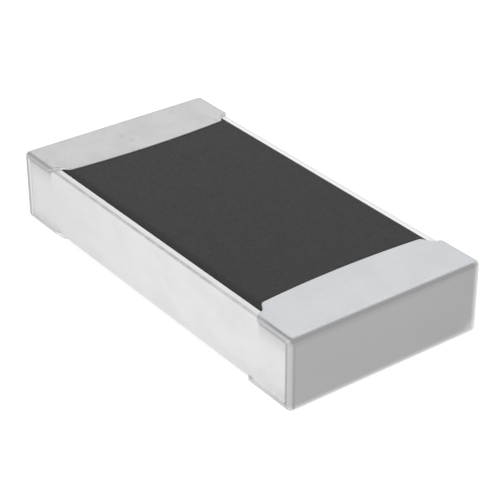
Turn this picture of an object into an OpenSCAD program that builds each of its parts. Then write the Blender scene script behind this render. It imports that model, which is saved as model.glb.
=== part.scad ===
// Thick-film chip resistor of the 1206 case, lying on its bottom tabs.
// X runs along its length, Y across it and Z up. The origin is on the board under its middle.
// Every layer is its own solid: each one follows the layer below it at its own thickness.

/* [Chip] */
// Length over the terminations
chip_l = 3.2; // [2.8:0.05:3.6]
// Width over the terminations
chip_w = 1.6; // [1.3:0.05:1.9]
// Thickness of the substrate
substrate_h = 0.5; // [0.35:0.05:0.7]
// Radius of the outer edges round each end
edge_r = 0.04; // [0.035:0.005:0.07]
// Radius of the substrate's long edges, where it was snapped from its sheet
snap_edge_r = 0.02; // [0.015:0.005:0.03]

/* [Top tab] */
// Length of the top tab at mid-width
top_tab_l = 0.495; // [0.4:0.005:0.6]
// Radius of the bow of its inner edge
bow_r = 7.5; // [5:0.5:12]
// Radius of the two corners of its tongue
tongue_r = 0.04; // [0.02:0.005:0.06]
// How far those corners are set in from the chip's sides
tongue_inset = 0.11; // [0.06:0.005:0.12]
// Angle at which the tongue's flanks run out towards the sides, in degrees
flank_a = 32; // [10:1:40]
// Distance from the tongue's tip back to the full width of the tab
shoulder_step = 0.16; // [0.14:0.005:0.2]
// Steeper angle of the shoulders, in degrees
shoulder_a = 65; // [50:1:80]
// Radius of the shoulders' outer corners
shoulder_r = 0.03; // [0.02:0.005:0.05]
// How far the tab folds down over the long sides
top_lip_h = 0.04; // [0.04:0.005:0.1]

/* [Bottom tab] */
// Length of the bottom tab
bottom_tab_l = 0.5; // [0.35:0.01:0.6]
// Radius of its two inner corners
bottom_tab_r = 0.1; // [0.03:0.01:0.15]
// How far it folds up over the long sides
bottom_lip_h = 0.045; // [0.04:0.005:0.1]

/* [End wrap] */
// Width of the upright band that the end wrap leaves on the long sides
band_w = 0.06; // [0.055:0.005:0.12]
// Corner radius of the bare window between band and lips
window_r = 0.012; // [0.005:0.001:0.03]

/* [Termination layers] */
// Thickness of the printed electrodes
electrode_t = 0.007; // [0.004:0.001:0.012]
// Thickness of the end conductor
conductor_t = 0.006; // [0.003:0.001:0.01]
// Thickness of the nickel barrier
nickel_t = 0.005; // [0.003:0.001:0.008]
// Thickness of the tin plating
tin_t = 0.007; // [0.003:0.001:0.01]
// How far the electrodes stay inside the outline of the tabs
electrode_inset = 0.025; // [0.02:0.001:0.04]
// How far the top electrodes run on under the coat
electrode_tuck = 0.125; // [0.1:0.005:0.2]

/* [Resistor] */
// Thickness of the resistor film
film_t = 0.004; // [0.002:0.001:0.006]
// How far the film laps onto the electrodes
film_lap = 0.08; // [0.04:0.005:0.09]
// How far the film's long sides are set in from those of the electrodes
film_inset = 0.07; // [0.05:0.005:0.2]
// Thickness of the inner glass coat
glass_t = 0.003; // [0.002:0.001:0.005]
// How far the glass reaches past the film on every side
glass_margin = 0.02; // [0.005:0.005:0.03]

/* [Laser trim] */
// Width of the trim cut
kerf_w = 0.04; // [0.02:0.005:0.08]
// Where the cut enters the film, from the middle of the chip
trim_x = -0.3; // [-0.6:0.05:0]
// Depth of the cut into the film before it turns
trim_depth = 0.5; // [0.1:0.05:0.8]
// Length of the cut after it has turned
trim_run = 0.45; // [0.1:0.05:0.8]

/* [Outer coat] */
// Bare margin of the substrate beside the coat
coat_margin = 0.065; // [0.04:0.005:0.15]
// Thickness of the coat over the highest step of the glass
coat_cover = 0.004; // [0.002:0.001:0.008]
// Width of the rounded fall along each long side of the coat
coat_fall_w = 0.06; // [0.03:0.005:0.065]
// Radius of that fall
coat_fall_r = 0.2; // [0.18:0.01:0.4]

/* [Hidden] */
$fn = 96;
// Overlap between areas that are joined, and depth to which a cut runs on below the face it meets
lap = 0.01;
// Overlap that makes the tongue's bow and its corners cross
nip = 0.0003;

half_l = chip_l / 2;
half_w = chip_w / 2;
plating_t = tin_t + nickel_t;
wrap_t = plating_t + conductor_t;
face_t = wrap_t + electrode_t;
chip_h = substrate_h + 2 * face_t;
substrate_top = face_t + substrate_h;
electrode_end = half_l - edge_r;

crown_x = half_l - top_tab_l;
shoulder_x = crown_x + shoulder_step;
tongue_y = half_w - tongue_inset;
corner_y = tongue_y - tongue_r;
corner_x = crown_x + bow_r - sqrt(pow(bow_r, 2) - pow(corner_y, 2)) + tongue_r - nip;
bottom_x = half_l - bottom_tab_l;

window_h = chip_h - top_lip_h - bottom_lip_h;
window_z = bottom_lip_h + window_h / 2;

top_electrode_x = crown_x - electrode_tuck;
electrode_y = tongue_y - electrode_inset;
film_x = top_electrode_x + film_lap;
film_y = electrode_y - film_inset;
glass_x = film_x + glass_margin;
glass_y = film_y + glass_margin;
stack_t = film_t + glass_t;
coat_y = half_w - wrap_t - coat_margin;
coat_flat_y = coat_y - coat_fall_w;
coat_top = substrate_top + electrode_t + stack_t + coat_cover;

// Profiles

module rounded_rect(l, w, r) {
    square([l - 2 * r, w], center = true);
    square([l, w - 2 * r], center = true);
    for (x = [-1, 1], y = [-1, 1])
        translate([x * (l / 2 - r), y * (w / 2 - r)]) circle(r);
}

// Area between two places along X, as wide to either side of the middle
module span(x0, x1, half) {
    translate([x0, -half]) square([x1 - x0, 2 * half]);
}

// Area from x0 out past the chip's end, with two rounded inner corners
module rounded_span(x0, half, r, depth) {
    span(x0 + r, half_l + lap, half - depth);
    span(x0 + depth, half_l + lap, half - r);
    for (s = [-1, 1])
        translate([x0 + r, s * (half - r)]) circle(r - depth);
}

// Rounded corner and the strip beside an edge that leaves it at an angle, l onwards from the corner
module corner_strip(x, y, r, angle, l, w) {
    for (s = [0, 1])
        mirror([0, s]) translate([x, y]) {
            circle(r);
            rotate(angle) translate([min(l, 0), -w]) square([abs(l), w + r]);
        }
}

// Bowed tongue of the top tab, with flanks that run out into the shoulders
module tongue(depth) {
    flank_l = (shoulder_x - corner_x) / cos(flank_a);
    intersection() {
        translate([crown_x + depth + bow_r, 0]) circle(bow_r);
        union() {
            span(crown_x - tongue_r, shoulder_x + lap, corner_y);
            corner_strip(corner_x, corner_y, tongue_r - depth, flank_a, flank_l, shoulder_step);
        }
    }
}

// Full width of the top tab, with shoulders that slant in to meet the flanks
module shoulders(depth) {
    span(shoulder_x, half_l + lap, half_w - depth);
    corner_strip(shoulder_x, half_w - shoulder_r, shoulder_r - depth, shoulder_a, -tongue_inset, tongue_inset);
}

// Outline of the top tab, for the layer that lies so deep under the tin's surface
module top_tab_plan(depth) {
    tongue(depth);
    shoulders(depth);
}

module bottom_tab_plan(depth) {
    rounded_span(bottom_x, half_w, bottom_tab_r, depth);
}

// Solids

// Block with one radius on the edges round its ends and another on its long edges
module rounded_block(l, w, h, end_r, long_r) {
    intersection() {
        linear_extrude(h, center = true) rounded_rect(l, w, end_r);
        rotate([90, 0, 0]) linear_extrude(w, center = true) rounded_rect(l, h, end_r);
        rotate([90, 0, 90]) linear_extrude(l, center = true) rounded_rect(w, h, long_r);
    }
}

// Outer form of the chip, taken so deep under its surface
module chip_form(depth) {
    translate([0, 0, chip_h / 2])
        rounded_block(chip_l - 2 * depth, chip_w - 2 * depth, chip_h - 2 * depth,
            edge_r - depth, snap_edge_r + wrap_t - depth);
}

module substrate_form() {
    translate([0, 0, chip_h / 2])
        rounded_block(chip_l - 2 * wrap_t, chip_w - 2 * wrap_t, substrate_h,
            edge_r - wrap_t, snap_edge_r);
}

// Space through both long sides in which the substrate stays bare
module side_window(depth) {
    translate([0, 0, window_z]) rotate([90, 0, 0])
        linear_extrude(chip_w, center = true)
            rounded_rect(2 * (half_l - band_w + depth), window_h + 2 * depth, window_r + depth);
}

// Right termination down to the middle of the chip, for a layer so deep under the surface
module termination(depth) {
    difference() {
        intersection() {
            chip_form(depth);
            union() {
                translate([0, 0, window_z]) linear_extrude(chip_h) top_tab_plan(depth);
                translate([0, 0, window_z + lap - chip_h]) linear_extrude(chip_h) bottom_tab_plan(depth);
            }
        }
        side_window(depth);
    }
}

// Printed pad at the right end, which a cut takes down to sink below the substrate's face
module top_electrode_form(sink) {
    translate([0, 0, substrate_top - sink]) linear_extrude(electrode_t + sink)
        intersection() {
            rounded_span(top_electrode_x, electrode_y, tongue_r, 0);
            span(0, electrode_end, half_w);
        }
}

module bottom_electrode_form(sink) {
    translate([0, 0, wrap_t]) linear_extrude(electrode_t + sink)
        intersection() {
            rounded_span(bottom_x + electrode_inset, half_w - wrap_t - electrode_inset, bottom_tab_r, 0);
            span(0, electrode_end, half_w);
        }
}

// One layer of the termination: what lies between two depths, outside the substrate and electrodes
module wrap(depth, t) {
    difference() {
        termination(depth);
        if (t > 0) termination(depth + t);
        substrate_form();
        top_electrode_form(lap);
        bottom_electrode_form(lap);
    }
}

module top_electrode_cuts() {
    top_electrode_form(lap);
    mirror([1, 0, 0]) top_electrode_form(lap);
}

// All that lies under a printed layer's upper face: it climbs over the inner ends of the electrodes
module printed_form(half_x, half_y, t, sink) {
    translate([-half_x, -half_y, substrate_top - sink]) cube([2 * half_x, 2 * half_y, t + sink]);
    for (s = [0, 1])
        mirror([s, 0, 0])
            translate([top_electrode_x - t, -half_y, substrate_top - sink])
                cube([half_x - top_electrode_x + t, 2 * half_y, electrode_t + t + sink]);
}

// L-shaped trim cut, from outside the glass into the film and on along it
module trim_cut() {
    entry_y = -glass_y - lap;
    turn_y = -film_y + trim_depth;
    linear_extrude(chip_h) {
        translate([trim_x - kerf_w / 2, entry_y]) square([kerf_w, turn_y - entry_y]);
        translate([trim_x, turn_y - kerf_w / 2]) square([trim_run, kerf_w]);
        for (x = [trim_x, trim_x + trim_run])
            translate([x, turn_y]) circle(d = kerf_w);
    }
}

module coat_plan() {
    difference() {
        span(-shoulder_x, shoulder_x, coat_y);
        top_tab_plan(0);
        mirror([1, 0]) top_tab_plan(0);
    }
}

// Cross-section of the coat: flat in the middle, with a rounded fall to either side
module coat_profile() {
    coat_h = coat_top - substrate_top;
    translate([0, coat_top - coat_h / 2]) square([2 * coat_flat_y, coat_h], center = true);
    intersection() {
        for (s = [-1, 1])
            translate([s * coat_flat_y, coat_top - coat_fall_r]) circle(coat_fall_r);
        translate([0, coat_top - coat_h / 2]) square([2 * coat_y, coat_h], center = true);
    }
}

// Sub-parts

module ceramic_substrate() {
    color("white") substrate_form();
}

module resistor_film() {
    color("dimgray") difference() {
        printed_form(film_x, film_y, film_t, 0);
        top_electrode_cuts();
        trim_cut();
    }
}

module inner_glass_coat() {
    color("seagreen") difference() {
        printed_form(glass_x, glass_y, stack_t, 0);
        printed_form(film_x, film_y, film_t, lap);
        top_electrode_cuts();
        trim_cut();
    }
}

module outer_coat() {
    color([0.28, 0.28, 0.28]) difference() {
        intersection() {
            linear_extrude(chip_h) coat_plan();
            rotate([90, 0, 90]) linear_extrude(chip_l, center = true) coat_profile();
        }
        difference() {
            printed_form(glass_x, glass_y, stack_t, lap);
            trim_cut();
        }
        top_electrode_cuts();
    }
}

module top_electrode() {
    color("whitesmoke") top_electrode_form(0);
}

module bottom_electrode() {
    color("whitesmoke") bottom_electrode_form(0);
}

module end_conductor() {
    color("gainsboro") wrap(plating_t, 0);
}

module nickel_barrier() {
    color("darkgray") wrap(tin_t, nickel_t);
}

module tin_plating() {
    color("silver") wrap(0, tin_t);
}

ceramic_substrate();
resistor_film();
inner_glass_coat();
outer_coat();
top_electrode();  // top_electrode_right
mirror([1, 0, 0]) top_electrode();  // top_electrode_left
bottom_electrode();  // bottom_electrode_right
mirror([1, 0, 0]) bottom_electrode();  // bottom_electrode_left
end_conductor();  // end_conductor_right
mirror([1, 0, 0]) end_conductor();  // end_conductor_left
nickel_barrier();  // nickel_barrier_right
mirror([1, 0, 0]) nickel_barrier();  // nickel_barrier_left
tin_plating();  // tin_plating_right
mirror([1, 0, 0]) tin_plating();  // tin_plating_left
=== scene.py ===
"""Looks of a thick-film chip resistor in the 1206 case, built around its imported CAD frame.

X runs along the chip, Y across it and Z up, with the origin on the board under its middle.
Outlines are worked out in millimetres and become metres when a mesh or a lamp is made from them.
"""

import math

import bpy
import numpy as np
from mathutils import Matrix, Vector


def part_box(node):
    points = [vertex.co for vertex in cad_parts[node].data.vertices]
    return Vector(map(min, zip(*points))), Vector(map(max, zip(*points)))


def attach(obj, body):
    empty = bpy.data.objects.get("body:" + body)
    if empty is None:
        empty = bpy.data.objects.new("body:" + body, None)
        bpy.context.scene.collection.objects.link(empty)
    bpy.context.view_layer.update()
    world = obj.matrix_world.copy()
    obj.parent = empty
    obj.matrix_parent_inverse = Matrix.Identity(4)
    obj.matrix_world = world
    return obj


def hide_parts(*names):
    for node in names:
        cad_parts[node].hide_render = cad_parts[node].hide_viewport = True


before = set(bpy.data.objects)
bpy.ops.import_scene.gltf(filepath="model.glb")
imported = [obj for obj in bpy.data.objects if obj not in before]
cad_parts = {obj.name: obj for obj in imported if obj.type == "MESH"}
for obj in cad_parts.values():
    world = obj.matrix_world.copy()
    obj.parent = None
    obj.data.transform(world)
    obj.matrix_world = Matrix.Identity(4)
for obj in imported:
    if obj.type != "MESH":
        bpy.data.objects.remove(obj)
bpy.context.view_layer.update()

MM = 0.001

# Sizes read from the frame


def node_box(name):
    """Lowest and highest corner of a CAD node, in millimetres."""
    low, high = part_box(name)
    return np.array(low) / MM, np.array(high) / MM


HALF_L, HALF_W, CHIP_H = node_box("tin_plating_right")[1]
BOTTOM_TAB_X = node_box("tin_plating_right")[0][0]
CERAMIC_LOW, CERAMIC_HIGH = node_box("ceramic_substrate")
COAT_LOW, COAT_HIGH = node_box("outer_coat")
GLASS_HIGH = node_box("inner_glass_coat")[1]
ELECTRODE_LOW, ELECTRODE_HIGH = node_box("top_electrode_right")
TIN_T = HALF_L - node_box("nickel_barrier_right")[1][0]

# Sizes of the terminations that no box gives
EDGE_R = 0.04
CERAMIC_EDGE_R = 0.02
TOP_TAB_L = 0.495
BOW_R = 7.5
TONGUE_R = 0.04
TONGUE_INSET = 0.11
FLANK_A = math.radians(32)
SHOULDER_STEP = 0.16
SHOULDER_A = math.radians(65)
SHOULDER_R = 0.03
BOTTOM_TAB_R = 0.1
TOP_LIP_H = 0.04
BOTTOM_LIP_H = 0.045
BAND_W = 0.06
WINDOW_R = 0.012

WRAP_T = HALF_L - CERAMIC_HIGH[0]
FACE_T = CHIP_H - CERAMIC_HIGH[2]
LONG_R = CERAMIC_EDGE_R + WRAP_T
FOLD_Y = HALF_W - LONG_R
CROWN_X = HALF_L - TOP_TAB_L
SHOULDER_X = CROWN_X + SHOULDER_STEP
TIP_Y = HALF_W - TONGUE_INSET - TONGUE_R
TIP_X = CROWN_X + BOW_R - math.sqrt(BOW_R**2 - TIP_Y**2) + TONGUE_R

# Finish of the tin's edges and corners
RIM_R = 0.006
LIP_RIM_R = 0.013
NOTCH_R = 0.005
CORNER_R = 0.036
STRAIGHT_X = 1.3
SINK = 0.001

# Stands for the distance from a border wherever that is too long to matter
FAR = 1.0

# How finely the meshes follow the forms
BOW_SHARE = 0.79
BOW_STEPS = 18
TIP_STEPS = 10
FLANK_STEPS = 8
NOTCH_STEPS = 4
SLANT_STEPS = 4
FAN_STEPS = 7
FOLD_STEPS = 10
RUN_STEPS = 8
ARC_STEPS = 12
FACE_STEPS = 26
RIM_STEPS = 5
SHARP_A = math.radians(45)


def steps(start, end, count):
    """That many equal steps after start, the last one at end."""
    return [start + (end - start) * (i + 1) / count for i in range(count)]


def ease(t):
    """Smooth rise from 0 to 1, held outside that range."""
    t = min(max(t, 0.0), 1.0)
    return t * t * (3 - 2 * t)


def mesh_piece(name, points, faces, material, replaced):
    """Mesh object from points in millimetres, which rides on the chip and stands for a CAD node."""
    mesh = bpy.data.meshes.new(name)
    mesh.from_pydata([tuple(p * MM) for p in points], [], faces)
    mesh.validate()
    mesh.materials.append(material)
    mesh.shade_smooth()
    mesh.set_sharp_from_angle(angle=SHARP_A)
    piece = bpy.data.objects.new(name, mesh)
    bpy.context.scene.collection.objects.link(piece)
    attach(piece, "root")
    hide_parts(replaced)
    return piece


# Outline of the top tab


def inward(angle):
    """Normal into the tab of an edge that runs outwards at an angle from the X axis."""
    return math.sin(angle), -math.cos(angle)


def flank_x(y):
    """Straight flank between the tongue's corner and the notch beside the shoulder."""
    nx, ny = inward(FLANK_A)
    return TIP_X - TONGUE_R * nx + (y - TIP_Y + TONGUE_R * ny) / math.tan(FLANK_A)


def shoulder_x(y):
    """Where the tab's full width begins: the shoulder's slant and its rounded corner."""
    nx, ny = inward(SHOULDER_A)
    centre_y = HALF_W - SHOULDER_R
    slant_y = centre_y - SHOULDER_R * ny
    if y > slant_y:
        return SHOULDER_X - math.sqrt(max(SHOULDER_R**2 - (y - centre_y) ** 2, 0))
    return SHOULDER_X - SHOULDER_R * nx - (slant_y - y) / math.tan(SHOULDER_A)


def notch_centre():
    """Centre of the small rounding where flank and shoulder meet."""
    slope = 1 / math.tan(FLANK_A) - 1 / math.tan(SHOULDER_A)
    y = (shoulder_x(0) - flank_x(0)) / slope
    first, second = np.array(inward(FLANK_A)), np.array(inward(SHOULDER_A))
    return np.array([flank_x(y), y]) - NOTCH_R * (first + second) / (1 + first @ second)


def tongue_outline():
    """Half of the tab's inner edge, with normals into the tab, from mid-width round the tongue's corner."""
    rows = []
    for y in [0.0] + steps(0, TIP_Y, BOW_STEPS):
        x = CROWN_X + BOW_R - math.sqrt(BOW_R**2 - y**2)
        rows.append((x, y, math.sqrt(1 - (y / BOW_R) ** 2), -y / BOW_R))
    for a in steps(math.pi / 2, FLANK_A, TIP_STEPS):
        nx, ny = inward(a)
        rows.append((TIP_X - TONGUE_R * nx, TIP_Y - TONGUE_R * ny, nx, ny))
    return rows


def flank_outline(last_y, count):
    """Flank of the tongue up to the height last_y."""
    return [(flank_x(y), y, *inward(FLANK_A)) for y in steps(tongue_outline()[-1][1], last_y, count)]


def shoulder_outline():
    """Notch and slant, from the flank's end up to the fold, where the normals have turned along X."""
    centre_x, centre_y = notch_centre()
    rows = []
    for a in steps(FLANK_A, SHOULDER_A, NOTCH_STEPS):
        nx, ny = inward(a)
        rows.append((centre_x + NOTCH_R * nx, centre_y + NOTCH_R * ny, nx, ny))
    heights = steps(rows[-1][1], FOLD_Y, SLANT_STEPS)
    turns = steps(SHOULDER_A, math.pi / 2, SLANT_STEPS)
    return rows + [(shoulder_x(y), y, *inward(a)) for y, a in zip(heights, turns)]


def bottom_tab_x(y):
    """Inner edge of a bottom tab, straight but for its rounded corners."""
    reach = min(max(y - (HALF_W - BOTTOM_TAB_R), 0.0), BOTTOM_TAB_R)
    return BOTTOM_TAB_X + BOTTOM_TAB_R - math.sqrt(BOTTOM_TAB_R**2 - reach**2)


# Tin plating

RIM_BEYOND = (0.001, 0.004)


def rim_distances(radius):
    """Distances from a border at which the mesh follows the rim's rounding, and some beyond it."""
    angles = [0.0] + steps(0, math.pi / 2, RIM_STEPS)
    return [radius * (1 - math.cos(a)) for a in angles] + [radius + extra for extra in RIM_BEYOND]


RIM = rim_distances(RIM_R)
LIP_RIM = rim_distances(LIP_RIM_R)
INNER = len(RIM) - len(RIM_BEYOND)


def rim_depth(e_end, e_side):
    """How deep the rounded rim lies under the surface, so far from the two nearest borders."""
    end, side = max(1 - e_end / RIM_R, 0.0), max(1 - e_side / LIP_RIM_R, 0.0)
    reach = math.hypot(end, side)
    if reach == 0:
        return 0.0
    radius = (RIM_R * end**2 + LIP_RIM_R * side**2) / reach**2
    return radius * (1 - math.sqrt(1 - min(reach, 1.0) ** 2))


def flat_columns():
    """Places across half the flat part of a tab, wide over the bow and close towards the fold."""
    bow_y = BOW_SHARE * FOLD_Y
    dense = TIP_STEPS + FLANK_STEPS + NOTCH_STEPS + SLANT_STEPS
    return [0.0] + steps(0, bow_y, BOW_STEPS) + steps(bow_y, FOLD_Y, dense)


class Section:
    """Cross-section of the tin's outer surface at one place along its C-shaped run round the end."""

    def __init__(self, middle, normal, radius, lip):
        self.middle = np.array(middle, float)
        self.normal = np.array(normal, float)
        self.radius = radius
        self.lip = np.array(lip, float)
        self.fold_y = HALF_W - radius
        self.fold_end = self.middle - radius * self.normal
        self.strip = float(np.linalg.norm(self.lip - self.fold_end))
        self.fold_m = self.strip + radius * math.pi / 2

    def at(self, m, flat_y=0.0):
        """Point and normal, m from the lip's edge, or at flat_y of the flat part where m is None."""
        if m is None:
            y = flat_y * self.fold_y / FOLD_Y
            return self.lift(self.middle, y), np.array([self.normal[0], 0, self.normal[1]])
        if m <= self.strip:
            place = self.lip + (self.fold_end - self.lip) * (m / self.strip)
            return self.lift(place, HALF_W), np.array([0.0, 1, 0])
        angle = (self.fold_m - m) / self.radius
        c, s = math.cos(angle), math.sin(angle)
        place = self.middle - self.radius * (1 - c) * self.normal
        return (self.lift(place, self.fold_y + self.radius * s),
                np.array([c * self.normal[0], s, c * self.normal[1]]))

    @staticmethod
    def lift(place, y):
        """Point of the section's plane, moved across the chip."""
        return np.array([place[0], y, place[1]])

    def columns(self):
        """Distances from the lip's edge up to the fold."""
        return LIP_RIM + steps(LIP_RIM[-1], self.fold_m, FOLD_STEPS)


def tab_section(x, top):
    """Section of the top or the bottom tab."""
    if top:
        return Section((x, CHIP_H), (0, 1), LONG_R, (x, CHIP_H - TOP_LIP_H))
    return Section((x, 0), (0, -1), LONG_R, (x, BOTTOM_LIP_H))


END_X = HALF_L - EDGE_R
WINDOW_X = HALF_L - BAND_W - WINDOW_R
WINDOW_TOP = CHIP_H - TOP_LIP_H - WINDOW_R
WINDOW_LOW = BOTTOM_LIP_H + WINDOW_R


def straight_run(places, z, normal_z, lip_z):
    """Sections of a tab on its way to the end, where the fold tightens and the lip heads for the band."""
    sections = []
    for x in places:
        t = (x - STRAIGHT_X) / (END_X - STRAIGHT_X)
        radius = LONG_R + (CORNER_R - LONG_R) * ease(t)
        lip_x = x + t * (WINDOW_X - END_X)
        sections.append(Section((x, z), (0, normal_z), radius, (lip_x, lip_z)))
    return sections


def end_bend(angles, z, window_z):
    """Sections round the upper or the lower edge of the end."""
    sections = []
    for a in angles:
        n = np.array([math.cos(a), math.sin(a)])
        place = (END_X, z) + EDGE_R * n
        sections.append(Section(place, n, CORNER_R, (WINDOW_X, window_z) + WINDOW_R * n))
    return sections


def end_face():
    """Sections down the end face, with the upright band's edge as their lip."""
    sections = []
    for i, z in enumerate(steps(CHIP_H - EDGE_R, EDGE_R, FACE_STEPS)):
        t = (i + 1) / FACE_STEPS
        lip_z = WINDOW_TOP + t * (WINDOW_LOW - WINDOW_TOP)
        sections.append(Section((HALF_L, z), (1, 0), CORNER_R, (HALF_L - BAND_W, lip_z)))
    return sections


def run_sections():
    """Sections from the top tab round the end to the bottom tab, where the columns run straight."""
    there, back = steps(STRAIGHT_X, END_X, RUN_STEPS), steps(END_X, STRAIGHT_X, RUN_STEPS)
    sections = straight_run([STRAIGHT_X] + there, CHIP_H, 1, CHIP_H - TOP_LIP_H)
    sections += end_bend(steps(math.pi / 2, 0, ARC_STEPS), CHIP_H - EDGE_R, WINDOW_TOP)
    sections += end_face()
    sections += end_bend(steps(0, -math.pi / 2, ARC_STEPS), EDGE_R, WINDOW_LOW)
    return sections + straight_run(back, 0, -1, BOTTOM_LIP_H)


# A row lists its points with the normal, the distances from the tab's edge and from the lip's edge,
# and, where a wall has to follow the tab's edge, that edge's function with the share it still has


def tab_rows(top):
    """Rows of a tab from its inner edge to where the columns run straight."""
    flats = flat_columns()
    section = tab_section(STRAIGHT_X, top)
    sides = section.columns()
    edge_x = shoulder_x if top else bottom_tab_x
    flat_z, up = (CHIP_H, 1.0) if top else (0.0, -1.0)
    if top:
        flank_end = notch_centre()[1] + NOTCH_R * inward(FLANK_A)[1]
        tongue = tongue_outline() + flank_outline(flank_end, FLANK_STEPS) + shoulder_outline()
    else:
        tongue = [(edge_x(y), y, 1.0, 0.0) for y in flats]
    starts = [edge_x(section.at(m)[0][1]) for m in sides[:-1]]
    rows = []
    distances = RIM + [None] * FAN_STEPS
    for k, e in enumerate(distances):
        share = 0.0 if e is not None else ease((k - len(RIM) + 1) / (FAN_STEPS + 1))
        e = RIM[-1] if e is None else e
        row = []
        for m, start in zip(sides[:-1], starts):
            x = start + e + share * (STRAIGHT_X - start - e)
            point, normal = section.at(m)
            row.append((np.array([x, point[1], point[2]]), normal, e, m, (edge_x, 1 - share)))
        for y, (bx, by, nx, ny) in reversed(list(zip(flats, tongue))):
            px, py = bx + e * nx, by + e * ny
            x, y = px + share * (STRAIGHT_X - px), py + share * (y - py)
            row.append((np.array([x, y, flat_z]), np.array([0, 0, up]), e, FAR, None))
        rows.append(row)
    return rows


def run_rows():
    """Rows round the end, between the two tabs."""
    flats = flat_columns()
    rows = []
    for section in run_sections():
        row = []
        for m in section.columns()[:-1]:
            point, normal = section.at(m)
            row.append((point, normal, FAR, m, None))
        for y in reversed(flats):
            point, normal = section.at(None, y)
            row.append((point, normal, FAR, FAR, None))
        rows.append(row)
    return rows


def tin_surface():
    """Grid of the whole outer surface, from the top tab's edge to the bottom one's, across both halves."""
    half = tab_rows(True) + run_rows() + tab_rows(False)[::-1]
    flip = np.array([1, -1, 1])
    grid = []
    for row in half:
        other = [(p * flip, n * flip, e, m, edge) for p, n, e, m, edge in reversed(row[:-1])]
        grid.append(row + other)
    return grid


def wall_depth(normal):
    """Depth of the ceramic under the tin: more on top and below, where printed electrodes lie between."""
    return WRAP_T + (FACE_T - WRAP_T) * abs(normal[2]) + SINK


def tin_cap(name, side, material, replaced):
    """Closed shell of tin over one end: rounded rims, a wall down to the ceramic and a thin hollow inside."""
    grid = tin_surface()
    count_i, count_j = len(grid), len(grid[0])
    points, faces = [], []

    def add(i, j, depth):
        """Adds the point so deep under a place of the grid, and gives its number."""
        point, normal, _, _, edge = grid[i][j]
        sunk = point - depth * normal
        if edge is not None:
            edge_x, share = edge
            sunk[0] += share * (edge_x(abs(sunk[1])) - edge_x(abs(point[1])))
        points.append(sunk * (side, 1, 1))
        return len(points) - 1

    def skin(low, depth_of, outward):
        """Adds a layer under the grid, all but its outermost places up to low."""
        index = {}
        for i in range(low, count_i - low):
            for j in range(low, count_j - low):
                index[i, j] = add(i, j, depth_of(i, j))
        for i in range(low, count_i - low - 1):
            for j in range(low, count_j - low - 1):
                quad = [index[i, j], index[i + 1, j], index[i + 1, j + 1], index[i, j + 1]]
                faces.append(quad if outward else quad[::-1])
        return index

    def loop(low):
        """Places round the border of such a layer."""
        high_i, high_j = count_i - 1 - low, count_j - 1 - low
        places = [(i, low) for i in range(low, high_i)]
        places += [(high_i, j) for j in range(low, high_j)]
        places += [(i, high_j) for i in range(high_i, low, -1)]
        places += [(low, j) for j in range(high_j, low, -1)]
        return places

    def join(first, second):
        """Adds the wall between two loops of points."""
        for k in range(len(first)):
            n = (k + 1) % len(first)
            faces.append([first[k], second[k], second[n], first[n]])

    def border_depth(i, j):
        """Depth of the rounded rim at a place of the grid."""
        return rim_depth(grid[i][j][2], grid[i][j][3])

    outer = skin(0, border_depth, True)
    inner = skin(INNER, lambda i, j: TIN_T, False)
    rim, seat = loop(0), loop(INNER)
    rim_top = [outer[p] for p in rim]
    rim_foot = [add(i, j, wall_depth(grid[i][j][1])) for i, j in rim]
    seat_foot = [add(i, j, wall_depth(grid[i][j][1])) for i, j in seat]
    seat_top = [inner[p] for p in seat]
    join(rim_top, rim_foot)
    faces.extend(strip_between(rim, seat, rim_foot, seat_foot, count_i, count_j))
    join(seat_foot, seat_top)
    if side > 0:
        faces[:] = [f[::-1] for f in faces]
    return mesh_piece(name, points, faces, material, replaced)


def strip_between(rim, seat, rim_foot, seat_foot, count_i, count_j):
    """Faces of the narrow foot on the ceramic, between the outer loop and the shorter inner one."""
    nearest = {}
    for k, (i, j) in enumerate(seat):
        nearest[i, j] = seat_foot[k]
    inner_of = []
    for i, j in rim:
        ci = min(max(i, INNER), count_i - 1 - INNER)
        cj = min(max(j, INNER), count_j - 1 - INNER)
        inner_of.append(nearest[ci, cj])
    faces = []
    for k in range(len(rim)):
        n = (k + 1) % len(rim)
        face = [rim_foot[k], inner_of[k], inner_of[n], rim_foot[n]]
        faces.append([face[0], face[1], face[3]] if inner_of[k] == inner_of[n] else face)
    return faces


# Ceramic

CERAMIC_ARC_STEPS = 8
CERAMIC_RUN_STEPS = 40
CERAMIC_MIN_R = 0.004


def ceramic_section(inset):
    """Rounded outline of the substrate across the chip, set in by so much, all the way round."""
    half_w, half_h = CERAMIC_HIGH[1] - inset, (CERAMIC_HIGH[2] - CERAMIC_LOW[2]) / 2 - inset
    middle_z = (CERAMIC_HIGH[2] + CERAMIC_LOW[2]) / 2
    radius = max(CERAMIC_EDGE_R - inset, CERAMIC_MIN_R)
    outline = []
    for quarter, (sy, sz) in enumerate([(1, 1), (-1, 1), (-1, -1), (1, -1)]):
        cy, cz = sy * (half_w - radius), sz * (half_h - radius)
        for k in range(CERAMIC_ARC_STEPS + 1):
            a = (quarter + k / CERAMIC_ARC_STEPS) * math.pi / 2
            outline.append((cy + radius * math.cos(a), middle_z + cz + radius * math.sin(a)))
    return outline


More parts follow.
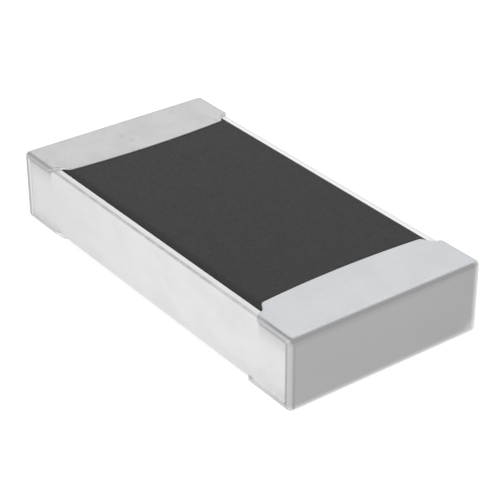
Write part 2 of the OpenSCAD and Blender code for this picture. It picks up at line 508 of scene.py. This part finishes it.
def ceramic_body(material):
    """Alumina block: one rounded section run from end to end, drawn in round each end's edges."""
    end_r = EDGE_R - WRAP_T
    straight = CERAMIC_HIGH[0] - end_r
    angles = [0.0] + steps(0, math.pi / 2, CERAMIC_ARC_STEPS)
    right = [(straight + end_r * math.sin(a), end_r * (1 - math.cos(a))) for a in angles]
    runs = [(-x, inset) for x, inset in reversed(right)]
    runs += [(x, 0.0) for x in steps(-straight, straight, CERAMIC_RUN_STEPS)[:-1]]
    runs += right
    points, faces = [], []
    for x, inset in runs:
        points.extend(np.array([x, y, z]) for y, z in ceramic_section(inset))
    count = len(ceramic_section(0))
    for i in range(len(runs) - 1):
        for j in range(count):
            n = (j + 1) % count
            faces.append([i * count + j, i * count + n, (i + 1) * count + n, (i + 1) * count + j])
    faces.append(list(range(count))[::-1])
    faces.append([(len(runs) - 1) * count + j for j in range(count)])
    return mesh_piece("alumina_body", points, faces, material, "ceramic_substrate")


# Outer coat

COAT_FALL_W = 0.06
COAT_FLAT_Y = COAT_HIGH[1] - COAT_FALL_W
COAT_FALL_R = 0.2
COAT_RIM_R = 0.006
COAT_DIP = 0.003
COAT_DIP_W = 0.014
COAT_MIN_T = 0.0012
COAT_CLEAR = 0.012
COAT_POINT_W = 0.02
COAT_INNER_Y = 0.6
COAT_STRAIGHT_X = 1.02
COAT_EDGE = [0.0, 0.0004, 0.0015, 0.0032, 0.006, 0.009, 0.014]
COAT_FLANK_STEPS = 5
COAT_FAN_STEPS = 8
COAT_MIDDLE_STEPS = 40


def coat_top(y, e_end, e_side):
    """Height of the coat: flat, falling along the long sides, with a soft dip where it meets the tin."""
    fall = max(abs(y) - COAT_FLAT_Y, 0.0)
    z = COAT_HIGH[2] - (COAT_FALL_R - math.sqrt(COAT_FALL_R**2 - fall**2))
    z -= COAT_DIP * (1 - ease(e_end / COAT_DIP_W))
    if e_side < COAT_RIM_R:
        z -= COAT_RIM_R - math.sqrt(COAT_RIM_R**2 - (COAT_RIM_R - e_side) ** 2)
    return z


def coat_foot(x, y):
    """Height of what lies under the coat: glass, electrodes or the bare ceramic."""
    if abs(x) < GLASS_HIGH[0] + COAT_CLEAR and abs(y) < GLASS_HIGH[1] + COAT_CLEAR:
        return GLASS_HIGH[2]
    if abs(x) > ELECTRODE_LOW[0] - COAT_CLEAR and abs(y) < ELECTRODE_HIGH[1] + COAT_CLEAR:
        return ELECTRODE_HIGH[2]
    return COAT_LOW[2]


def coat_columns():
    """Columns across the whole coat: where each starts on the tab's edge, and its place in the middle."""
    outline = tongue_outline() + flank_outline(COAT_HIGH[1] - COAT_EDGE[-1], COAT_FLANK_STEPS)
    sides = [COAT_HIGH[1] - e for e in COAT_EDGE[::-1]][1:]
    outline += [(flank_x(y), y, *inward(FLANK_A)) for y in sides]
    outer_count = len(outline) - BOW_STEPS - len(sides)
    targets = [0.0] + steps(0, COAT_INNER_Y, BOW_STEPS) + steps(COAT_INNER_Y, sides[0], outer_count)
    columns = list(zip(outline, targets + sides[1:]))
    return [((x, -y, nx, -ny), -t) for (x, y, nx, ny), t in columns[:0:-1]] + columns


def coat_line(start, target_y):
    """Points of a column up to where the columns run straight, each with its distance from the tab's edge."""
    bx, by, nx, ny = start
    slant = min(1.0, max(0.0, (COAT_HIGH[1] - abs(by)) / COAT_POINT_W))
    dx, dy = -nx * slant - (1 - slant), -ny * slant
    line = [(bx + e * dx, by + e * dy, e) for e in COAT_EDGE]
    px, py, _ = line[-1]
    for k in range(1, COAT_FAN_STEPS + 1):
        share = ease(k / COAT_FAN_STEPS)
        line.append((px + share * (COAT_STRAIGHT_X - px), py + share * (target_y - py), FAR))
    return line


def coat_body(material):
    """Printed coat between the two tabs, which runs into a point at each of its four corners."""
    middle = steps(-COAT_STRAIGHT_X, COAT_STRAIGHT_X, COAT_MIDDLE_STEPS)[:-1]
    grid = []
    for start, target_y in coat_columns():
        line = coat_line(start, target_y)
        whole = [(-x, y, e) for x, y, e in line]
        whole += [(x, target_y, FAR) for x in middle]
        grid.append(whole + line[::-1])
    return coat_mesh(grid, material)


def coat_mesh(grid, material):
    """Closed mesh over the grid: the coat's upper face, its underside and the walls between them."""
    points, faces = [], []
    count_i, count_j = len(grid), len(grid[0])
    upper, lower = {}, {}
    for i, line in enumerate(grid):
        for j, (x, y, e) in enumerate(line):
            foot = coat_foot(x, y)
            top = max(coat_top(y, e, COAT_HIGH[1] - abs(y)), foot + COAT_MIN_T)
            upper[i, j] = len(points)
            points.append(np.array([x, y, top]))
            lower[i, j] = len(points)
            points.append(np.array([x, y, foot]))
    for i in range(count_i - 1):
        for j in range(count_j - 1):
            around = [(i, j), (i, j + 1), (i + 1, j + 1), (i + 1, j)]
            faces.append([upper[p] for p in around])
            faces.append([lower[p] for p in around[::-1]])
    border = [(0, j) for j in range(count_j - 1)]
    border += [(i, count_j - 1) for i in range(count_i - 1)]
    border += [(count_i - 1, j) for j in range(count_j - 1, 0, -1)]
    border += [(i, 0) for i in range(count_i - 1, 0, -1)]
    for k, here in enumerate(border):
        there = border[(k + 1) % len(border)]
        faces.append([upper[here], lower[here], lower[there], upper[there]])
    return mesh_piece("epoxy_coat", points, faces, material, "outer_coat")


# Materials


class Finish:
    """A procedural material: a principled shader and the texture nodes that feed it."""

    def __init__(self, name, colour, roughness, metallic=0.0):
        self.material = bpy.data.materials.new(name)
        self.material.use_nodes = True
        self.tree = self.material.node_tree
        self.shader = self.tree.nodes["Principled BSDF"]
        self.shader.inputs["Base Color"].default_value = (*colour, 1)
        self.shader.inputs["Roughness"].default_value = roughness
        self.shader.inputs["Metallic"].default_value = metallic
        self.place = self.scaled(self.node("ShaderNodeTexCoord").outputs["Object"], (1 / MM,) * 3)

    def node(self, kind, **values):
        """New node of a kind, with some of its settings."""
        made = self.tree.nodes.new(kind)
        for key, value in values.items():
            setattr(made, key, value)
        return made

    def join(self, output, socket):
        """Links an output to a socket."""
        self.tree.links.new(output, socket)

    def scaled(self, vector, scale):
        """The place vector, stretched by a factor along each axis."""
        mapping = self.node("ShaderNodeMapping")
        mapping.inputs["Scale"].default_value = scale
        self.join(vector, mapping.inputs["Vector"])
        return mapping.outputs["Vector"]

    def noise(self, per_mm, detail, stretch=(1, 1, 1)):
        """Noise with so many bumps to the millimetre."""
        noise = self.node("ShaderNodeTexNoise")
        noise.inputs["Scale"].default_value = per_mm
        noise.inputs["Detail"].default_value = detail
        self.join(self.scaled(self.place, stretch), noise.inputs["Vector"])
        return noise.outputs["Fac"]

    def remap(self, value, low, high, to_low=0.0, to_high=1.0):
        """A value between low and high, spread smoothly from to_low to to_high."""
        node = self.node("ShaderNodeMapRange", interpolation_type="SMOOTHSTEP")
        node.inputs["From Min"].default_value = low
        node.inputs["From Max"].default_value = high
        node.inputs["To Min"].default_value = to_low
        node.inputs["To Max"].default_value = to_high
        self.join(value, node.inputs["Value"])
        return node.outputs["Result"]

    def blend(self, factor, first, second):
        """Mix of two colours, each a triple or an output."""
        node = self.node("ShaderNodeMix", data_type="RGBA")
        self.join(factor, node.inputs["Factor"])
        for socket, colour in ((node.inputs[6], first), (node.inputs[7], second)):
            if isinstance(colour, tuple):
                socket.default_value = (*colour, 1)
            else:
                self.join(colour, socket)
        return node.outputs[2]

    def layered(self, tone, layers):
        """A colour with others laid over it in turn, each where its mask says."""
        for mask, colour in layers:
            tone = self.blend(mask, tone, colour)
        return tone

    def maths(self, operation, first, second):
        """Sum, product or the like of two values, each a number or an output."""
        node = self.node("ShaderNodeMath", operation=operation)
        for socket, value in zip(node.inputs, (first, second)):
            if isinstance(value, (int, float)):
                socket.default_value = value
            else:
                self.join(value, socket)
        return node.outputs["Value"]

    def place_on(self, name):
        """Coordinate along one axis, in millimetres."""
        split = self.node("ShaderNodeSeparateXYZ")
        self.join(self.place, split.inputs["Vector"])
        return split.outputs[name]

    def axis(self, name):
        """Distance from the middle plane along one axis, in millimetres."""
        return self.maths("ABSOLUTE", self.place_on(name), 0)

    def near(self, depth, full, none):
        """1 down to one depth under a face, fading to 0 at another."""
        return self.remap(depth, full, none, 1.0, 0.0)

    def both(self, first, *others):
        """Product of masks."""
        for other in others:
            first = self.maths("MULTIPLY", first, other)
        return first

    def either(self, first, *others):
        """Largest of masks."""
        for other in others:
            first = self.maths("MAXIMUM", first, other)
        return first

    def colour(self, output):
        """Links the base colour."""
        self.join(output, self.shader.inputs["Base Color"])

    def roughness(self, output):
        """Links the roughness."""
        self.join(output, self.shader.inputs["Roughness"])

    def bumps(self, *layers):
        """Bump layers over each other, each a height output with its relief in millimetres."""
        normal = None
        for height, relief in layers:
            bump = self.node("ShaderNodeBump")
            bump.inputs["Distance"].default_value = relief * MM
            self.join(height, bump.inputs["Height"])
            if normal is not None:
                self.join(normal, bump.inputs["Normal"])
            normal = bump.outputs["Normal"]
        self.join(normal, self.shader.inputs["Normal"])


# Alumina. The numbers of its masks and of the tin's are places on the chip, in millimetres

ALUMINA_WHITE = (0.89, 0.888, 0.889)
ALUMINA_CLOUD = (0.84, 0.84, 0.84)
ALUMINA_PIT = (0.68, 0.68, 0.68)
ALUMINA_GREY = (0.72, 0.72, 0.72)
ALUMINA_MARGIN_LIGHT = (0.99, 0.99, 0.99)
ALUMINA_SCRIBE_AND_SHADE = (0.46, 0.46, 0.465)
TOP_LIP_Z = CHIP_H - TOP_LIP_H


def margin_strip(finish, across, height):
    """Mask of the painted light on the bare margin beside the coat, narrower in front."""
    out, coat_y = finish.axis("Y"), COAT_HIGH[1]
    behind = finish.remap(across, -0.1, 0.1)
    narrow = finish.near(out, coat_y + 0.008, coat_y + 0.018)
    wide = finish.near(out, coat_y + 0.03, coat_y + 0.05)
    upper = finish.remap(height, CERAMIC_HIGH[2] - 0.006, CERAMIC_HIGH[2])
    return finish.both(finish.either(narrow, finish.both(behind, wide)), upper)


def scribed_line(finish, along, across, height):
    """Mask of the scribed line along the long upper edges, its grey partly the line's own and partly painted
    shade of its notch, faint on the back one.
    """
    outward = finish.remap(finish.axis("Y"), CERAMIC_HIGH[1] - 0.031, CERAMIC_HIGH[1] - 0.022)
    upward = finish.remap(height, CERAMIC_HIGH[2] - 0.009, CERAMIC_HIGH[2] - 0.004)
    patchy = finish.remap(finish.noise(per_mm=14.0, detail=2.0, stretch=(1, 0.3, 0.3)), 0.2, 0.8, 0.55, 1.0)
    front = finish.remap(across, -0.1, 0.1, 1.0, 0.08)
    paler = finish.remap(along, 0.5, 1.1, 1.0, 0.75)
    return finish.both(outward, upward, patchy, front, paler)


def lip_shades(finish, along, height):
    """Mask of the painted shade under the top tabs' lips, and of the grey above the bottom tabs' lips."""
    covered = finish.remap(finish.axis("X"), SHOULDER_X - 0.03, SHOULDER_X)
    # Painted shade under the top lips, darkest right under their edge
    shade_under_lip = finish.remap(height, TOP_LIP_Z - 0.15, TOP_LIP_Z - 0.02, 0.0, 0.33)
    edge = finish.remap(height, TOP_LIP_Z - 0.036, TOP_LIP_Z - 0.024, 0.0, 0.4)
    right_foot = finish.remap(height, BOTTOM_LIP_H + 0.16, BOTTOM_LIP_H, 0.0, 0.14)
    left_foot = finish.remap(height, BOTTOM_LIP_H + 0.07, BOTTOM_LIP_H, 0.0, 0.22)
    return finish.either(
        finish.both(covered, finish.maths("ADD", shade_under_lip, edge)),
        finish.both(right_foot, finish.remap(along, 0.95, 1.15)),
        finish.both(left_foot, finish.remap(along, -1.1, -1.2)))


def alumina():
    """Fired white alumina: cloudy tone, fine grain, and a grey scribed line along its long upper edges,
    partly painted shade; painted shade towards the far end and under the top lips, greyer towards the top,
    and painted light on the margin beside the coat.
    """
    finish = Finish("alumina", ALUMINA_WHITE, roughness=0.62)
    along, across, height = finish.place_on("X"), finish.place_on("Y"), finish.place_on("Z")
    clouds = finish.remap(finish.noise(per_mm=3.5, detail=3.0, stretch=(1, 1, 1.6)), 0.35, 0.7)
    grain = finish.noise(per_mm=46.0, detail=3.0)
    greys = finish.either(scribed_line(finish, along, across, height), lip_shades(finish, along, height))
    finish.colour(finish.layered(ALUMINA_WHITE, [
        (clouds, ALUMINA_CLOUD),
        (finish.remap(grain, 0.62, 0.78, 0.0, 0.45), ALUMINA_PIT),
        # Painted shade: the alumina greyer towards the far end
        (finish.remap(along, -HALF_L, 0.3, 0.55, 0.0), ALUMINA_GREY),
        # Greyer towards the top
        (finish.remap(height, 0.08, 0.42, 0.0, 0.18), ALUMINA_GREY),
        # Painted light on the bare margin beside the coat
        (margin_strip(finish, across, height), ALUMINA_MARGIN_LIGHT),
        # Grey of the scribed line, partly painted shade of its notch, with the painted shade under the top
        # lips and the grey above the bottom ones
        (greys, ALUMINA_SCRIBE_AND_SHADE)]))
    finish.bumps((clouds, 0.004), (grain, 0.0016))
    return finish.material


# Coat

COAT_GREY = (0.0325, 0.0325, 0.0325)
COAT_DARK = (0.0298, 0.0298, 0.0298)
COAT_PALE = (0.05, 0.05, 0.05)
COAT_FALL_SHADE = (0.025, 0.025, 0.025)
COAT_SHEEN = 0.22


def coat_epoxy():
    """Printed dark grey epoxy: matt, with fine filler grain, sparse pale specks, and painted shade where it
    falls along its long sides.
    """
    finish = Finish("coat_epoxy", COAT_GREY, roughness=0.62)
    finish.shader.inputs["Specular IOR Level"].default_value = COAT_SHEEN
    specks = finish.remap(finish.noise(per_mm=30.0, detail=2.0), 0.66, 0.76, 0.0, 0.3)
    clouds = finish.remap(finish.noise(per_mm=5.0, detail=4.0), 0.35, 0.75, 0.0, 0.5)
    grain = finish.noise(per_mm=60.0, detail=3.0)
    # Painted shade where the coat falls along its long sides
    falling = finish.remap(finish.axis("Y"), COAT_HIGH[1] - 0.07, COAT_HIGH[1] - 0.03, 0.0, 0.9)
    finish.colour(finish.layered(COAT_GREY, [(clouds, COAT_DARK), (specks, COAT_PALE), (falling, COAT_FALL_SHADE)]))
    finish.roughness(finish.remap(grain, 0.3, 0.7, 0.58, 0.7))
    finish.bumps((clouds, 0.0012), (grain, 0.0006))
    return finish.material


# Tin: painted light, shade and reflection on its end face, folds and borders that both ends share, then the
# tones of each end

# Colours of painted shade, light and reflection on the tin, named for where they lie
END_SHADE_TIN = (0.422, 0.421, 0.421)
LOW_END_SHADE_TIN = (0.437, 0.436, 0.436)
LOW_REFLECTION_TIN = (0.445, 0.445, 0.445)
CORNER_REFLECTION_TIN = (0.54, 0.54, 0.54)
STEP_LIGHT_TIN = (0.98, 0.98, 0.98)
HALO_TIN = (0.78, 0.78, 0.78)
FOOT_LIGHT_TIN = (0.66, 0.66, 0.66)
SOLE_SHADE_TIN = (0.48, 0.48, 0.48)
FRONT_LEDGE_LIGHT_TIN = (0.82, 0.82, 0.82)
BACK_LEDGE_LIGHT_TIN = (0.64, 0.64, 0.64)
FAR_END_SHADE_TIN = (0.4, 0.4, 0.402)
LIP_EDGE_SHADE_TIN = (0.36, 0.36, 0.37)
END_FOLD_SHADE_TIN = (0.46, 0.46, 0.46)
SHADE_TIN = (0.388, 0.388, 0.39)

# Each end's copy of the tin: its tab, lip, band, crease, toe and hem tones set lighter and darker as painted
# light and shade for the light that end gets
RIGHT_TIN = {
    "bright": (0.51, 0.522, 0.54),
    "dull": (0.489, 0.499, 0.516),
    "smudge": (0.44, 0.446, 0.46),
    "smudged": 0.3,
    "lip": (0.475, 0.475, 0.48),
    "band": (0.54, 0.54, 0.545),
    "crease": (0.375, 0.373, 0.385),
    "crease_at": -0.03,
    "toe": (0.6, 0.6, 0.6),
    "hem": (0.4, 0.4, 0.405),
    "hem_at": 0.034,
    "end_at": 0.013}
LEFT_TIN = {
    "bright": (0.497, 0.496, 0.497),
    "dull": (0.461, 0.46, 0.461),
    "smudge": (0.41, 0.412, 0.414),
    "smudged": 0.8,
    "lip": (0.5, 0.5, 0.502),
    "band": (0.44, 0.44, 0.44),
    "crease": (0.455, 0.455, 0.46),
    "crease_at": 0.03,
    "toe": (0.76, 0.76, 0.76),
    "hem": (0.88, 0.88, 0.88),
    "hem_at": 0.056,
    "end_at": 0.0}


def end_face_zones(finish, look, end, side, top, across, height):
    """Masks of the end face and of the fold above it, with their colours: painted shade over the face,
    lighter near the bottom and darker towards the back, painted reflections low down and at the back corner,
    and painted shade under the fold and on it.
    """
    near, both, remap = finish.near, finish.both, finish.remap
    face = near(end, look["end_at"], look["end_at"] + 0.007)
    low = near(height, 0.06, 0.26)
    far = remap(across, 0.0, 0.8)
    glow = both(near(height, 0.045, 0.095), remap(across, -0.3, 0.6))
    corner = both(remap(across, 0.6, 0.7), near(height, 0.05, 0.14), near(side, 0.05, 0.14))
    shade = near(top, 0.05, 0.07)
    fold = near(top, 0.014, 0.03)
    return [
        # Painted shade over the end face, with painted reflections low down and at the back corner
        (face, END_SHADE_TIN),
        (both(face, low), LOW_END_SHADE_TIN),
        (both(face, far), FAR_END_SHADE_TIN),
        (both(face, glow), LOW_REFLECTION_TIN),
        (both(face, corner), CORNER_REFLECTION_TIN),
        (both(face, shade), SHADE_TIN),
        (both(face, fold), END_FOLD_SHADE_TIN)]


def tin_zones(finish, look):
    """Masks of painted light, shade and reflection on the tin's folds and borders with their colours, each
    over the ones before it.
    """
    near, both, remap = finish.near, finish.both, finish.remap
    height, across = finish.place_on("Z"), finish.place_on("Y")
    end = finish.maths("SUBTRACT", HALF_L, finish.axis("X"))
    side = finish.maths("SUBTRACT", HALF_W, finish.axis("Y"))
    top = finish.maths("SUBTRACT", CHIP_H, height)
    crease_at, hem_at = look["crease_at"], look["hem_at"]
    front, back = remap(across, -0.7, -0.6, 1.0, 0.0), remap(across, 0.6, 0.7)
    past_band, under_lip = remap(end, 0.055, 0.065), remap(top, 0.036, 0.044)

    # Painted shade on the top tab's lip, painted light and shade on the upright band, painted light on the
    # bottom tab's lip and painted shade on the sole below it
    lip = both(near(side, 0.012, 0.02), remap(top, 0.01, 0.016))
    band = both(near(side, 0.01, 0.03), remap(top, 0.03, 0.06))
    foot = both(near(side, 0.006, 0.02), near(height, BOTTOM_LIP_H, 0.06), past_band)
    sole = both(foot, near(height, 0.022, 0.042))

    # Painted reflection on the end face's lower and back edge, and painted shade on its front corner and the
    # fold over the front long edge
    edge = finish.either(near(height, 0.007, 0.061), both(back, near(side, 0.012, 0.07)))
    halo = both(edge, near(end, 0.02, 0.03))
    corner = both(near(end, 0.001, 0.004), near(side, 0.033, 0.044), front)
    fold = both(
        near(top, 0.006, 0.012), near(side, 0.018, 0.026), near(across, 0.3, 0.5), near(end, 0.22, 0.33),
        remap(end, crease_at - 0.02, crease_at + 0.02))

    # Painted light and shade on the borders of the window: along the band, along the shoulder, and along both
    # lips
    step = both(remap(side, 0.005, 0.01), near(side, 0.019, 0.022), remap(end, 0.026, 0.04), under_lip)
    ledge = both(
        remap(end, 0.3, 0.32), remap(side, 0.024, 0.034), near(side, 0.1, 0.16),
        remap(top, 0.002, 0.005), near(top, 0.04, 0.05))
    front_ledge = both(ledge, near(across, -0.1, 0.1))
    toe = both(remap(end, 0.38, 0.42), near(height, 0.045, 0.06))
    # Painted shade along the top lip's lower edge
    lip_edge_shade = both(near(side, 0.012, 0.016), remap(top, 0.027, 0.033), near(top, 0.042, 0.05), past_band)
    hem = both(
        near(side, 0.012, 0.015), remap(end, hem_at - 0.006, hem_at + 0.004), under_lip,
        near(end, 0.068, 0.08), remap(height, 0.04, 0.05))
    return end_face_zones(finish, look, end, side, top, across, height) + [
        (lip, look["lip"]),
        (band, look["band"]),
        (foot, FOOT_LIGHT_TIN),
        (sole, SOLE_SHADE_TIN),
        (halo, HALO_TIN),
        (finish.either(corner, fold), look["crease"]),
        (step, STEP_LIGHT_TIN),
        (ledge, BACK_LEDGE_LIGHT_TIN),
        (front_ledge, FRONT_LEDGE_LIGHT_TIN),
        (toe, look["toe"]),
        (lip_edge_shade, LIP_EDGE_SHADE_TIN),
        (hem, look["hem"])]


def matt_tin(name, look):
    """Plated matt tin: cloudy satin metal with fine crystals and smudges, and painted light, shade and
    reflection on its end face, folds and borders.
    """
    finish = Finish(name, look["bright"], roughness=0.42, metallic=1.0)
    clouds = finish.remap(finish.noise(per_mm=4.0, detail=5.0), 0.35, 0.7)
    smear = finish.noise(per_mm=6.5, detail=3.0, stretch=(1, 1.4, 1))
    smudges = finish.remap(smear, 0.62, 0.78, 0.0, look["smudged"])
    crystals = finish.noise(per_mm=70.0, detail=2.0)
    layers = [(clouds, look["dull"]), (smudges, look["smudge"])] + tin_zones(finish, look)
    finish.colour(finish.layered(look["bright"], layers))
    finish.roughness(finish.remap(crystals, 0.25, 0.75, 0.4, 0.48))
    finish.bumps((clouds, 0.0004), (crystals, 0.00025))
    return finish.material


# Inner layers

SILVER = (0.8, 0.79, 0.76)
DULL_SILVER = (0.7, 0.69, 0.66)
CONDUCTOR = (0.72, 0.71, 0.69)
DULL_CONDUCTOR = (0.64, 0.63, 0.61)
NICKEL = (0.62, 0.6, 0.56)
DULL_NICKEL = (0.55, 0.53, 0.5)
RUTHENIUM = (0.055, 0.055, 0.06)
PALE_RUTHENIUM = (0.1, 0.1, 0.1)
GLAZE = (0.07, 0.17, 0.11)
PALE_GLAZE = (0.12, 0.24, 0.17)


def inner_metal(name, colour, dull, roughness, per_mm):
    """Metal layer under the tin: fine even grain in two close tones."""
    finish = Finish(name, colour, roughness, metallic=1.0)
    grain = finish.noise(per_mm, detail=3.0)
    finish.colour(finish.blend(finish.remap(grain, 0.3, 0.7), colour, dull))
    finish.bumps((grain, 0.0006))
    return finish.material


def inner_film(name, colour, pale, roughness):
    """Fired film or glass under the coat: smooth, with small pale flecks."""
    finish = Finish(name, colour, roughness)
    flecks = finish.noise(per_mm=24.0, detail=3.0)
    finish.colour(finish.blend(finish.remap(flecks, 0.5, 0.75), colour, pale))
    finish.bumps((flecks, 0.0005))
    return finish.material


# Pieces


def dress_node(name, material):
    """Gives a CAD node that stays in the scene its material."""
    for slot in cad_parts[name].material_slots:
        slot.material = material


def build_chip():
    """The four visible pieces, and materials for the nodes inside."""
    tin_cap("tin_cap_right", 1, matt_tin("matt_tin_right", RIGHT_TIN), "tin_plating_right")
    tin_cap("tin_cap_left", -1, matt_tin("matt_tin_left", LEFT_TIN), "tin_plating_left")
    ceramic_body(alumina())
    coat_body(coat_epoxy())
    dress_node("resistor_film", inner_film("ruthenium_film", RUTHENIUM, PALE_RUTHENIUM, roughness=0.4))
    dress_node("inner_glass_coat", inner_film("glaze", GLAZE, PALE_GLAZE, roughness=0.15))
    silver = inner_metal("silver_print", SILVER, DULL_SILVER, roughness=0.5, per_mm=40.0)
    conductor = inner_metal("end_metal", CONDUCTOR, DULL_CONDUCTOR, roughness=0.35, per_mm=55.0)
    nickel = inner_metal("nickel", NICKEL, DULL_NICKEL, roughness=0.3, per_mm=60.0)
    for side in ("right", "left"):
        dress_node("top_electrode_" + side, silver)
        dress_node("bottom_electrode_" + side, silver)
        dress_node("end_conductor_" + side, conductor)
        dress_node("nickel_barrier_" + side, nickel)


# Studio: angles of the camera in radians, lengths in millimetres

CAMERA_AZIMUTH = -0.6452
CAMERA_ELEVATION = 0.5299
CAMERA_ROLL = 0.0003
CAMERA_DISTANCE = 11.9807
CAMERA_RIGHT = 0.0734
CAMERA_DOWN = 0.1164
CAMERA_TARGET = Vector((0, 0, 0.3))
CAMERA_LENS = 121.94
SENSOR_W = 36.0
CLIP_NEAR = 0.5
CLIP_FAR = 300


def direction(azimuth, elevation):
    """Unit vector towards an azimuth, counted from +X towards +Y, and an elevation, both in radians."""
    flat = math.cos(elevation)
    return Vector((flat * math.cos(azimuth), flat * math.sin(azimuth), math.sin(elevation)))


def make_camera():
    """The photo's camera, as fitted to its outline."""
    back = direction(CAMERA_AZIMUTH, CAMERA_ELEVATION)
    level = (-back).cross(Vector((0, 0, 1))).normalized()
    upright = level.cross(-back)
    turn, tilt = math.cos(CAMERA_ROLL), math.sin(CAMERA_ROLL)
    right = turn * level + tilt * upright
    up = turn * upright - tilt * level
    place = CAMERA_TARGET + CAMERA_DISTANCE * back + CAMERA_RIGHT * right - CAMERA_DOWN * up
    data = bpy.data.cameras.new("camera")
    data.lens, data.sensor_width = CAMERA_LENS, SENSOR_W
    data.clip_start, data.clip_end = CLIP_NEAR * MM, CLIP_FAR * MM
    camera = bpy.data.objects.new("camera", data)
    turned = Matrix((right, up, back)).transposed()
    camera.matrix_world = Matrix.Translation(place * MM) @ turned.to_4x4()
    bpy.context.scene.collection.objects.link(camera)
    bpy.context.scene.camera = camera


# Name, azimuth and elevation in degrees, distance, size, and radiance
SOFTBOXES = [
    ("back_light", 142, 40, 30, 26, 0.75),
    ("fold_light", 100, 56, 30, 14, 0.75),
    ("side_light", -104, 16, 30, 22, 1.5)]


def make_softbox(name, azimuth, elevation, distance, size, radiance):
    """Square lamp that faces the chip, with angles in degrees and lengths in millimetres."""
    towards = direction(math.radians(azimuth), math.radians(elevation))
    data = bpy.data.lights.new(name, "AREA")
    data.shape, data.size = "SQUARE", size * MM
    data.energy = radiance * math.pi * (size * MM) ** 2
    lamp = bpy.data.objects.new(name, data)
    lamp.location = towards * distance * MM
    lamp.rotation_euler = towards.to_track_quat("Z", "Y").to_euler()
    bpy.context.scene.collection.objects.link(lamp)


def seen_directly(tree):
    """1 for what the camera sees, straight on, mirrored in metal or through glass, and 0 for other light."""
    path = tree.nodes.new("ShaderNodeLightPath")
    total = path.outputs["Is Camera Ray"]
    for kind in ("Is Glossy Ray", "Is Transmission Ray"):
        more = tree.nodes.new("ShaderNodeMath")
        more.operation = "MAXIMUM"
        tree.links.new(total, more.inputs[0])
        tree.links.new(path.outputs[kind], more.inputs[1])
        total = more.outputs[0]
    return total


FLOOR_SIZE = 120
FLOOR_DROP = 0.002
FLOOR_BOUNCE = (0.8, 0.8, 0.8)
FLOOR_ROUGHNESS = 0.9
FLOOR_SEEN = (0.35, 0.35, 0.35)
FLOOR_GLOW = 0.8
WORLD_LIGHT = 0.72


def mixed(tree, factor, first, second):
    """Shader that turns from the first into the second as the factor goes from 0 to 1."""
    node = tree.nodes.new("ShaderNodeMixShader")
    for socket, output in zip(node.inputs, (factor, first, second)):
        tree.links.new(output, socket)
    return node.outputs[0]


def floor_material():
    """Pale ground: plain matt for bounced light, with a glow of its own where seen, and open from below."""
    material = bpy.data.materials.new("floor")
    material.use_nodes = True
    tree = material.node_tree
    bounce = tree.nodes["Principled BSDF"]
    bounce.inputs["Base Color"].default_value = (*FLOOR_BOUNCE, 1)
    bounce.inputs["Roughness"].default_value = FLOOR_ROUGHNESS
    bounce.inputs["Specular IOR Level"].default_value = 0.0
    pale = tree.nodes.new("ShaderNodeBsdfDiffuse")
    pale.inputs["Color"].default_value = (*FLOOR_SEEN, 1)
    glow = tree.nodes.new("ShaderNodeEmission")
    glow.inputs["Strength"].default_value = FLOOR_GLOW
    lit = tree.nodes.new("ShaderNodeAddShader")
    tree.links.new(pale.outputs[0], lit.inputs[0])
    tree.links.new(glow.outputs[0], lit.inputs[1])
    seen = mixed(tree, seen_directly(tree), bounce.outputs[0], lit.outputs[0])
    backfacing = tree.nodes.new("ShaderNodeNewGeometry").outputs["Backfacing"]
    clear = tree.nodes.new("ShaderNodeBsdfTransparent").outputs[0]
    tree.links.new(mixed(tree, backfacing, seen, clear), tree.nodes["Material Output"].inputs["Surface"])
    return material


def make_floor():
    """Flat ground, white where nothing shades it, with the chip's soft shadow."""
    half = FLOOR_SIZE / 2 * MM
    mesh = bpy.data.meshes.new("floor")
    corners = [(-half, -half), (half, -half), (half, half), (-half, half)]
    mesh.from_pydata([(x, y, -FLOOR_DROP * MM) for x, y in corners], [], [(0, 1, 2, 3)])
    mesh.materials.append(floor_material())
    floor = bpy.data.objects.new("floor", mesh)
    bpy.context.scene.collection.objects.link(floor)


def make_world():
    """Even white light from all round."""
    world = bpy.data.worlds.new("studio")
    bpy.context.scene.world = world
    world.use_nodes = True
    world.node_tree.nodes["Background"].inputs["Color"].default_value = (1, 1, 1, 1)
    world.node_tree.nodes["Background"].inputs["Strength"].default_value = WORLD_LIGHT


def make_studio():
    """Floor, world, lamps and plain colours."""
    make_floor()
    make_world()
    for softbox in SOFTBOXES:
        make_softbox(*softbox)
    bpy.context.scene.view_settings.view_transform = "Standard"


make_camera()
build_chip()
make_studio()
